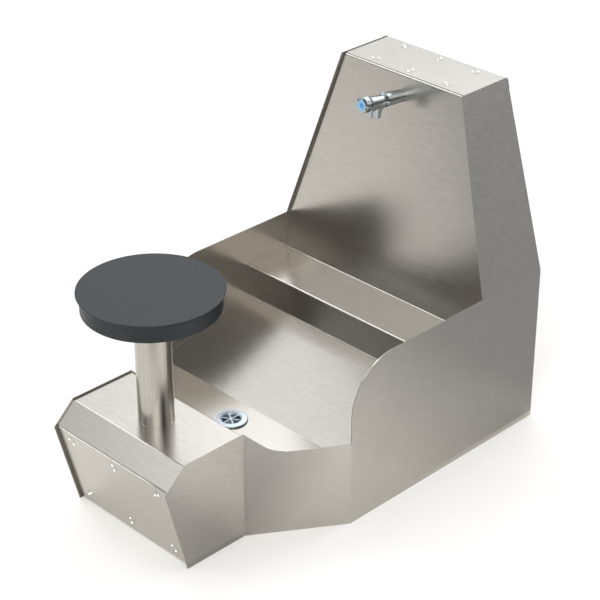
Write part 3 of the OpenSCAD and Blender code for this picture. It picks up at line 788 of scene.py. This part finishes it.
def plug_tree():
    """A flat dome on each point, turned to the direction kept in the attribute aim."""
    tree, graph, given = geometry_tree("hole_plug", [
        ("Radius", "NodeSocketFloat", 0.002), ("Swell", "NodeSocketFloat", 0.4),
        ("Finish", "NodeSocketMaterial", None),
    ])
    inputs = {"Segments": 24, "Rings": 12, "Radius": given["Radius"]}
    ball = graph.node("GeometryNodeMeshUVSphere", {}, inputs)["Mesh"]
    smooth = graph.node("GeometryNodeSetShadeSmooth", {}, {"Geometry": ball})["Geometry"]
    kept = graph.node("GeometryNodeInputNamedAttribute", {"data_type": "FLOAT_VECTOR"}, {"Name": "aim"})
    aim = kept["Attribute"]
    turn = graph.node("FunctionNodeAlignRotationToVector", {"axis": "Z"}, {"Vector": aim})["Rotation"]
    scale = graph.node("ShaderNodeCombineXYZ", {}, {"X": 1.0, "Y": 1.0, "Z": given["Swell"]})["Vector"]
    plugs = graph.node("GeometryNodeInstanceOnPoints", {}, {
        "Points": given["Geometry"], "Instance": smooth, "Rotation": turn, "Scale": scale,
    })["Instances"]
    finish_tree(graph, given, plugs)
    return tree


def hole_plugs(name, holes, radius, swell, finish):
    mesh = bpy.data.meshes.new(name)
    mesh.from_pydata([middle for middle, aim in holes], [], [])
    aims = mesh.attributes.new("aim", "FLOAT_VECTOR", "POINT")
    for point, (middle, aim) in zip(aims.data, holes):
        point.vector = aim
    return grown(name, mesh, plug_tree(), {"Radius": radius, "Swell": swell}, finish, "fixing_steel")


def ring_tree():
    """Copies of the mesh at even turns round Z."""
    tree, graph, given = geometry_tree("ring_of", [
        ("Count", "NodeSocketInt", 6), ("Phase", "NodeSocketFloat", 0.0),
        ("Finish", "NodeSocketMaterial", None),
    ])
    points = graph.node("GeometryNodePoints", {}, {"Count": given["Count"]})["Points"]
    number = graph.node("GeometryNodeInputIndex")["Index"]
    turn = (number + given["Phase"]) * math.tau / given["Count"]
    rotation = graph.node("ShaderNodeCombineXYZ", {}, {"X": 0.0, "Y": 0.0, "Z": turn})["Vector"]
    euler = graph.node("FunctionNodeEulerToRotation", {}, {"Euler": rotation})["Rotation"]
    copies = graph.node("GeometryNodeInstanceOnPoints", {}, {
        "Points": points, "Instance": given["Geometry"], "Rotation": euler,
    })["Instances"]
    finish_tree(graph, given, copies)
    return tree


def ring_of(name, mesh, count, phase, place, finish, slot):
    piece = grown(name, mesh, ring_tree(), {"Count": count, "Phase": phase}, finish, slot)
    piece.data.transform(place)
    smoothed(piece.data, WIRE_CREASE)
    return piece


def spring_tree():
    """Round wire wound round Z, from the origin upwards."""
    tree, graph, given = geometry_tree("coil_spring", [
        ("Turns", "NodeSocketFloat", 5.0), ("Middle Radius", "NodeSocketFloat", 0.005),
        ("Rise", "NodeSocketFloat", 0.01), ("Wire Radius", "NodeSocketFloat", 0.0005),
        ("Finish", "NodeSocketMaterial", None),
    ])
    winding = graph.node("GeometryNodeCurveSpiral", {}, {
        "Resolution": 32, "Rotations": given["Turns"], "Start Radius": given["Middle Radius"],
        "End Radius": given["Middle Radius"], "Height": given["Rise"],
    })["Curve"]
    finish_tree(graph, given, wire(graph, winding, given["Wire Radius"], resolution=12))
    return tree


# Camera and light

LENS = 111.07
SENSOR_WIDTH = 36
CAMERA_PLACE = (2.4779, -2.39845, 2.3295)
CAMERA_TILT = 60.579
CAMERA_TURN = 45.267


def photo_camera():
    camera = bpy.data.objects.new("camera", bpy.data.cameras.new("camera"))
    camera.data.lens = LENS
    camera.data.sensor_width = SENSOR_WIDTH
    camera.location = CAMERA_PLACE
    camera.rotation_euler = (math.radians(CAMERA_TILT), 0, math.radians(CAMERA_TURN))
    bpy.context.scene.collection.objects.link(camera)
    bpy.context.scene.camera = camera


# Soft lights round the object: azimuth and elevation of the middle, degrees to the full light and to
# its end, brightness
SOFT_LIGHTS = {
    "back": (85, 30, 6, 26, 3.3),
    "back left": (112, 34, 6, 22, 1.2),
    "back left middle": (128, 36, 4, 14, 1.0),
    "back left low": (140, 22, 6, 22, 1.1),
    "back left high": (132, 50, 6, 22, 1.3),
    "far left": (168, 34, 6, 22, 1.4),
    "left low": (-170, 20, 6, 24, 0.3),
    "front left low": (-142, 12, 6, 24, 0.9),
    "front left": (-136, 46, 6, 18, 2.1),
    "front": (-88, 40, 6, 26, 1.3),
    "near front": (-62, 32, 6, 20, 0.4),
    "front right": (-42, 37, 6, 26, 3.0),
    "front right low": (-40, 16, 6, 20, 0.5),
    "near right": (-20, 32, 6, 20, 0.8),
    "right": (40, 28, 6, 26, 1.0),
    "right low": (40, 4, 6, 24, 0.5),
    "left high": (178, 52, 4, 13, 5.0),
    "overhead": (0, 90, 6, 38, 0.8),
}
SHADE_LIGHT = 0.03
LIGHT_COLOUR = (0.975, 1.0, 1.03, 1)


def soft_light(graph, azimuth, elevation, full, end):
    """One round patch of light in the studio's surroundings, from 1 in its middle to 0."""
    turn, rise = math.radians(azimuth), math.radians(elevation)
    middle = (math.cos(rise) * math.cos(turn), math.cos(rise) * math.sin(turn), math.sin(rise))
    view = graph.node("ShaderNodeTexCoord")["Generated"]
    nearness = graph.node("ShaderNodeVectorMath", {"operation": "DOT_PRODUCT"}, {0: view, 1: middle})["Value"]
    return ramped(graph, nearness, math.cos(math.radians(end)), math.cos(math.radians(full)), "SMOOTHSTEP")


def studio():
    world = bpy.data.worlds.new("studio")
    bpy.context.scene.world = world
    world.use_nodes = True
    graph = Graph(world.node_tree)
    patches = {
        name: soft_light(graph, *place) * brightness for name, (*place, brightness) in SOFT_LIGHTS.items()
    }
    background = world.node_tree.nodes["Background"]
    background.inputs["Color"].default_value = LIGHT_COLOUR
    graph.feed(background.inputs["Strength"], sum(patches.values(), SHADE_LIGHT))
    bpy.context.scene.view_settings.view_transform = "Standard"


# Round softboxes: place, target, size, energy, and whether the steel mirrors them
SOFT_BOXES = {
    "floor_light": ((1.5, -2.4, 2.4), (0.2, -0.2, 0), 2.8, 53, False),
    "waste_light": ((0, -0.152, 0.06), (0, -0.152, 0.15), 0.04, 0.018, True),
}


def soft_box(name, place, target, size, energy, mirrored):
    """A round softbox aimed at a point, which the camera never sees."""
    lamp = bpy.data.lights.new(name, "AREA")
    lamp.shape = "DISK"
    lamp.size = size
    lamp.energy = energy
    box = bpy.data.objects.new(name, lamp)
    box.location = place
    box.rotation_euler = (Vector(target) - Vector(place)).to_track_quat("-Z", "Y").to_euler()
    box.visible_glossy = mirrored
    box.visible_camera = False
    bpy.context.scene.collection.objects.link(box)


FLOOR_REACH = (-6, 6)
CARD_HEIGHT = 0.001
# Grey cards on the floor: reach across and along, direction of the fade, where it starts and ends along
# that, and its greatest share
SHADE_CARDS = {
    "right": ((0.31, 6), (0, 6), (0, 1, 0), 0.1, 0.62, 1.0),
    "front": ((-5, -0.6), (-5, -0.9), (1, -0.869, 0), -0.17, 0.3, 1.0),
    "seat": ((0.3, 1.9), (-1.9, -0.65), (1, -1, 0), 1.35, 1.6, 1.0),
    "bench": ((0.18, 0.6), (-0.6, -0.2), (0, -1, 0), 0.2, 0.32, 0.6),
}


def flat_sheet(name, x_range, y_range, height, finish):
    """A flat part of the stage."""
    (left, right), (near, far) = x_range, y_range
    mesh = bpy.data.meshes.new(name)
    corners = [(left, near, height), (right, near, height), (right, far, height), (left, far, height)]
    mesh.from_pydata(corners, [], [(0, 1, 2, 3)])
    mesh.materials.append(finish)
    sheet = bpy.data.objects.new(name, mesh)
    bpy.context.scene.collection.objects.link(sheet)
    return sheet


def shade_card(name, x_range, y_range, *fade):
    """A card that shows only as a mirror image in the steel."""
    card = flat_sheet(f"shade_card_{name}", x_range, y_range, CARD_HEIGHT, card_paper(f"card_{name}", *fade))
    card.visible_camera = False
    card.visible_diffuse = False
    card.visible_shadow = False


photo_camera()
studio()
for name, box in SOFT_BOXES.items():
    soft_box(name, *box)
flat_sheet("floor", FLOOR_REACH, FLOOR_REACH, 0, floor_paint())
for name, card in SHADE_CARDS.items():
    shade_card(name, *card)


# Folded sheets and plates

SHEET_EDGE_R = 0.3
COVER_EDGE_R = 0.7
PLATE_EDGE_R = 0.5
SCREW_EDGE_R = 0.25
NECK_EDGE_R = 0.4

# What stands for each CAD node: its name, the rounding of its edges and its finish
ROUNDED_PIECES = {
    "front_access_panel": ("front_panel_sheet", SHEET_EDGE_R, steel_across),
    "bench_top": ("bench_sheet", SHEET_EDGE_R, steel_across),
    "basin_tray": ("basin_sheet", SHEET_EDGE_R, steel_across),
    "splashback": ("splashback_sheet", SHEET_EDGE_R, steel_face),
    "top_access_cover": ("cover_sheet", COVER_EDGE_R, steel_across),
    "back_panel": ("back_sheet", SHEET_EDGE_R, steel_across),
    "front_bottom_rail": ("front_rail", SHEET_EDGE_R, steel_across),
    "basin_stiffener": ("stiffener_channel", SHEET_EDGE_R, steel_across),
    "floor_brackets": ("floor_angle_brackets", SHEET_EDGE_R, steel_sides),
    "seat_disc": ("seat_top_disc", PLATE_EDGE_R, seat_finish),
    "seat_column": ("column_tube", SHEET_EDGE_R, steel_tube),
    "seat_plate": ("seat_mounting_plate", PLATE_EDGE_R, fixing_finish),
    "column_foot_plate": ("column_foot", PLATE_EDGE_R, fixing_finish),
    "front_panel_screws": ("front_screws", SCREW_EDGE_R, steel_across),
    "top_cover_screws": ("cover_screws", SCREW_EDGE_R, steel_across),
    "tap_collar": ("collar_neck", NECK_EDGE_R, collar_shade_finish),
}

for node, (name, edge_r, finish) in ROUNDED_PIECES.items():
    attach(rounded_piece(node, name, edge_r, finish), "unit")

for node in ("side_panel_left", "side_panel_right"):
    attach(rounded_piece(node, node.replace("panel", "sheet"), SHEET_EDGE_R, steel_sides), "unit")


# Welds

BEAD_R = 0.8
BEAD_HEIGHT = 150.3
COLUMN_DEPTH = 132.5
COLUMN_R = 38.05
COLUMN_STEPS = 72
RISER_FOOT = 209
SHELF_FRONT_HEIGHT = 288
SHELF_BACK_HEIGHT = 291.8
SHELF_BACK_DEPTH = 796
SPLASHBACK_LOW = (BODY_INSIDE, 806, 366)
SPLASHBACK_BEND = (BODY_INSIDE, 808, 380)
SPLASHBACK_TOP = (174.5, 855, 796)
FLANGE_SEAM_INSIDE = 172
RISER_SEAM_INSIDE = 297

# Points across, back and up, and whether the other side has the same seam
SEAMS = [
    # Bench flange, flare and sloping floor against each side
    ([
        (BENCH_INSIDE, FLANGE_DEPTH, DECK_HEIGHT - 1),
        (BENCH_INSIDE, FLANGE_DEPTH, GUTTER_HEIGHT + 1),
    ], True),
    ([
        (BENCH_INSIDE, FLANGE_DEPTH + 1, BEAD_HEIGHT),
        (BODY_INSIDE, FLARE_DEPTH, BEAD_HEIGHT),
        (BODY_INSIDE, RISER_DEPTH, RISER_FOOT),
    ], True),
    # Riser, shelf and splashback against each side
    ([
        (BODY_INSIDE, RISER_DEPTH + 1, RISER_FOOT + 1),
        (BODY_INSIDE, RISER_DEPTH + 1, SHELF_FRONT_HEIGHT),
        (BODY_INSIDE, SHELF_BACK_DEPTH, SHELF_BACK_HEIGHT),
    ], True),
    ([
        (BODY_INSIDE, SHELF_BACK_DEPTH + 1, SHELF_BACK_HEIGHT + 1.2),
        SPLASHBACK_LOW,
        SPLASHBACK_BEND,
        SPLASHBACK_TOP,
    ], True),
    # Tray against the bench flange
    ([
        (-FLANGE_SEAM_INSIDE, FLANGE_DEPTH + 0.6, BEAD_HEIGHT + 0.2),
        (FLANGE_SEAM_INSIDE, FLANGE_DEPTH + 0.6, BEAD_HEIGHT + 0.2),
    ], False),
]
# Tray under the riser
RISER_SEAM = [
    (-RISER_SEAM_INSIDE, RISER_DEPTH + 0.6, RISER_FOOT + 0.4),
    (RISER_SEAM_INSIDE, RISER_DEPTH + 0.6, RISER_FOOT + 0.4),
]


def seam_lines():
    """Every seam as a line of points, on both sides where it has a twin."""
    lines = []
    for points, both_sides in SEAMS:
        lines.append([on_unit(*point) for point in points])
        if both_sides:
            lines.append([on_unit(-x, depth, height) for x, depth, height in points])
    lines.append([
        on_unit(COLUMN_R * math.sin(turn), COLUMN_DEPTH + COLUMN_R * math.cos(turn), DECK_HEIGHT)
        for turn in (math.tau * i / COLUMN_STEPS for i in range(COLUMN_STEPS + 1))
    ])
    return lines


riser_line = [on_unit(*point) for point in RISER_SEAM]
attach(weld_beads("weld_beads", seam_lines(), BEAD_R * MM, bead_finish), "unit")
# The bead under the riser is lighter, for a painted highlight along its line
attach(weld_beads("riser_weld_bead", [riser_line], BEAD_R * MM, riser_highlight_finish), "unit")


# Plugs in the driving holes of the flat screws

HOLE_R = 2.4
HOLE_AREA_TOLERANCE_SHARE = 0.1
PLUG_R = 2.3
PLUG_SWELL = 0.45


def driving_holes(node):
    """Middle and outward direction of each driving hole's floor."""
    work = merged_copy(node)
    area = math.pi * (HOLE_R * MM) ** 2
    tolerance = area * HOLE_AREA_TOLERANCE_SHARE
    floors = [face for face in work.faces if abs(face.calc_area() - area) < tolerance]
    holes = [(face.calc_center_median(), face.normal.copy()) for face in floors]
    work.free()
    return holes


# The plugs carry a painted glow
for node in ("front_panel_screws", "top_cover_screws"):
    name = node.replace("screws", "hole_plugs")
    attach(hole_plugs(name, driving_holes(node), PLUG_R * MM, PLUG_SWELL, glowing_white_finish), "unit")


# Waste

WASTE_DEPTH = 339
FLANGE_R = 36
FLANGE_BOTTOM = 1.2
FLANGE_TOP = 3.7
FLANGE_BEVEL_H = 0.7
FLANGE_BEVEL_W = 1.8
GRID_BEVEL_W = 1.4
GRID_R = 22.5
GRID_TOP = 2.5
GRID_BOTTOM = 0.5
GRID_RIM_R = 21.1
HUB_R = 3.6
HUB_RISE = 0.2
SPOKES = 6
SPOKE_W = 3
SPOKE_EDGE_R = 0.5
# Lengths by which a spoke runs on into the hub and into the rim
SPOKE_IN_HUB = 1
SPOKE_IN_RIM = 0.6
WASTE_TAIL_R = 23.9
WASTE_BORE_R = 21.2
WASTE_TAIL_BOTTOM = -62
WASTE_THREAD_TOP = -17
WASTE_PITCH = 2.309
THREAD_SHARE = 0.55

waste_frame = Matrix.Translation(on_unit(0, WASTE_DEPTH, GUTTER_HEIGHT))

waste_outline = [
    (WASTE_BORE_R, WASTE_TAIL_BOTTOM, 0),
    *thread(WASTE_TAIL_R, WASTE_TAIL_BOTTOM, WASTE_THREAD_TOP, WASTE_PITCH, WASTE_PITCH * THREAD_SHARE),
    (WASTE_TAIL_R, FLANGE_BOTTOM, 0),
    (FLANGE_R, FLANGE_BOTTOM, 0.2),
    (FLANGE_R, FLANGE_TOP - FLANGE_BEVEL_H, 0.5),
    (FLANGE_R - FLANGE_BEVEL_W, FLANGE_TOP, 1.2),
    (GRID_R + GRID_BEVEL_W, FLANGE_TOP, 0.6),
    (GRID_R, GRID_TOP, 0.6),
    (GRID_RIM_R, GRID_TOP, 0.3),
    (GRID_RIM_R, GRID_BOTTOM, 0),
    (WASTE_BORE_R, GRID_BOTTOM, 0),
]
hub_outline = [
    (0, GRID_BOTTOM, 0),
    (HUB_R, GRID_BOTTOM, 0),
    (HUB_R, GRID_TOP, 0.5),
    (0, GRID_TOP + HUB_RISE, 0),
]

waste = turned("waste_flange", waste_outline, waste_frame, waste_finish, "chrome")
hub = turned("waste_grid_hub", hub_outline, waste_frame, waste_finish, "chrome", segments=48)
one_spoke = spoke(
    SPOKE_W, HUB_R - SPOKE_IN_HUB, GRID_RIM_R + SPOKE_IN_RIM, GRID_BOTTOM, GRID_TOP, SPOKE_EDGE_R,
)
spokes = ring_of("waste_grid_spokes", one_spoke, SPOKES, 0.5, waste_frame, waste_finish, "chrome")
for piece in (waste, hub, spokes):
    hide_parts("waste_body")
    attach(piece, "unit")


# Tap

BODY_R = 13.5
HEAD_R = 15.5
TAPER_START = 52
HEAD_START = 60
HEAD_END = 100
TAIL_R = 10.48
TAIL_END = -45
THREAD_END = -16
TAIL_PITCH = 1.814
CAVITY_R = 11.5
CAVITY_START = 24
WATERWAY_R = 6.5
SPOUT_OUT = 75
SPOUT_R = 13
SPOUT_DROP = 33
SPOUT_EDGE_R = 0.7
SPOUT_SINK = 3
NOZZLE_BORE_R = 10.1
CUT_OVERRUN = 1
# Radius of the fillet round the spout's root towards the wall, at the sides and towards the button
ROOT_R = (15, 1.2, 4.5)
FILLET_STEPS = 14
BUTTON_R = 17.5
BUTTON_START = 107
BUTTON_BORE_R = 14.4
BUTTON_BORE_END = 118
INSERT_R = 11.9
INSERT_START = 119.8
INSERT_END = 121.2
INSERT_GAP = 0.1
INSERT_CROWN = 0.1
DIMPLE_EDGE_R = 4.6
DIMPLE_R = 3.4
DIMPLE_DEPTH = 0.8
FINE_SEGMENTS = 128
SPRING_MIDDLE_R = 5.3
SPRING_WIRE_R = 0.5
SPRING_TURNS = 5
SPRING_START = 103.1
SPRING_END = 117.9

body_outline = [
    (0, TAIL_END, 0),
    *thread(TAIL_R, TAIL_END, THREAD_END, TAIL_PITCH, TAIL_PITCH * THREAD_SHARE),
    (TAIL_R, 0, 0),
    (BODY_R, 0, 0.3),
    (BODY_R, TAPER_START, 4),
    (HEAD_R, HEAD_START, 4),
    (HEAD_R, HEAD_END, 1.0),
    (0, HEAD_END, 0),
]


def outer_r(out):
    """Radius of the tap's body at a distance along it."""
    share = (out - TAPER_START) / (HEAD_START - TAPER_START)
    return BODY_R + (HEAD_R - BODY_R) * min(1, max(0, share))


def spout_rings():
    """Rings of the spout, from inside the body down to its mouth, with a fillet all round its root."""
    towards_wall, beside, towards_button = ROOT_R
    turns = [math.tau * i / ROUND_SEGMENTS for i in range(ROUND_SEGMENTS)]
    steps = [math.radians(90 * i / FILLET_STEPS) for i in range(FILLET_STEPS + 1)]

    def root_point(turn, step, sink):
        forward = math.cos(turn)
        end_r = towards_button if forward > 0 else towards_wall
        fillet = beside + (end_r - beside) * forward ** 2
        reach = SPOUT_R + fillet * (1 - math.sin(step))
        x, out = reach * math.sin(turn), SPOUT_OUT + reach * forward
        surface = math.sqrt(max(0, outer_r(out) ** 2 - x ** 2))
        return x, -(surface + fillet * (1 - math.cos(step)) - sink), out

    def straight_ring(radius, drop):
        return [(radius * math.sin(turn), -drop, SPOUT_OUT + radius * math.cos(turn)) for turn in turns]

    rings = [[root_point(turn, 0, SPOUT_SINK) for turn in turns]]
    rings += [[root_point(turn, step, 0) for turn in turns] for step in steps]
    rings.append(straight_ring(SPOUT_R, SPOUT_DROP - SPOUT_EDGE_R))
    for step in (math.radians(30 * i) for i in range(1, 4)):
        inset = SPOUT_EDGE_R * (1 - math.cos(step))
        rings.append(straight_ring(SPOUT_R - inset, SPOUT_DROP - SPOUT_EDGE_R * (1 - math.sin(step))))
    return rings


TAP_BORES = {
    "cavity": (CAVITY_R, (0, 0, CAVITY_START), (0, 0, HEAD_END + CUT_OVERRUN)),
    "waterway": (WATERWAY_R, (0, 0, TAIL_END - CUT_OVERRUN), (0, 0, CAVITY_START + CUT_OVERRUN)),
    "nozzle_bore": (NOZZLE_BORE_R, (0, 0, SPOUT_OUT), (0, -SPOUT_DROP - CUT_OVERRUN, SPOUT_OUT)),
}

tap = turned("tap_casting", body_outline, tap_frame, chrome_finish, "chrome", FINE_SEGMENTS)
joined(tap, lofted("spout", spout_rings(), tap_frame), "UNION")
for name, bore in TAP_BORES.items():
    joined(tap, rod(name, *bore), "DIFFERENCE")
slivers_removed(tap.data)
smoothed(tap.data, TURNED_CREASE)
weighted(tap)
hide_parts("tap_body")
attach(tap, "unit")

button_outline = [
    (0, BUTTON_BORE_END, 0),
    (BUTTON_BORE_R, BUTTON_BORE_END, 0.5),
    (BUTTON_BORE_R, BUTTON_START, 0),
    (BUTTON_R, BUTTON_START, 0.6),
    (BUTTON_R, TAP_REACH, 1.6),
    (INSERT_R + INSERT_GAP, TAP_REACH, 0.3),
    (INSERT_R + INSERT_GAP, INSERT_START, 0),
    (0, INSERT_START, 0),
]
insert_outline = [
    (0, INSERT_START, 0),
    (INSERT_R, INSERT_START, 0),
    (INSERT_R, INSERT_END - INSERT_CROWN, 0.6),
    (DIMPLE_EDGE_R, INSERT_END, 0.5),
    (DIMPLE_R, INSERT_END - DIMPLE_DEPTH + INSERT_CROWN, 0.5),
    (0, INSERT_END - DIMPLE_DEPTH, 0),
]
button = turned("button_cap", button_outline, tap_frame, chrome_finish, "chrome", FINE_SEGMENTS)
insert = turned("button_blue_insert", insert_outline, tap_frame, blue_finish, "button_blue")
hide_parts("push_button")
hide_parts("button_insert")
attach(button, "button")
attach(insert, "button")

spring_values = {
    "Turns": SPRING_TURNS, "Middle Radius": SPRING_MIDDLE_R * MM, "Wire Radius": SPRING_WIRE_R * MM,
    "Rise": (SPRING_END - SPRING_START - 2 * SPRING_WIRE_R) * MM,
}
blank = bpy.data.meshes.new("button_spring")
spring = grown("button_spring", blank, spring_tree(), spring_values, fixing_finish, "fixing_steel")
spring.data.transform(tap_frame @ Matrix.Translation((0, 0, (SPRING_START + SPRING_WIRE_R) * MM)))
smoothed(spring.data, WIRE_CREASE)
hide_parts("return_spring")
on_tap(0, 0, SPRING_START)
on_tap(0, 0, SPRING_END)
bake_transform(spring)


# Nodes that keep their own shape

for node, thing in nodes.items():
    thing.data.materials.clear()
    thing.data.materials.append(CAD_FINISHES[slot_of(node)])
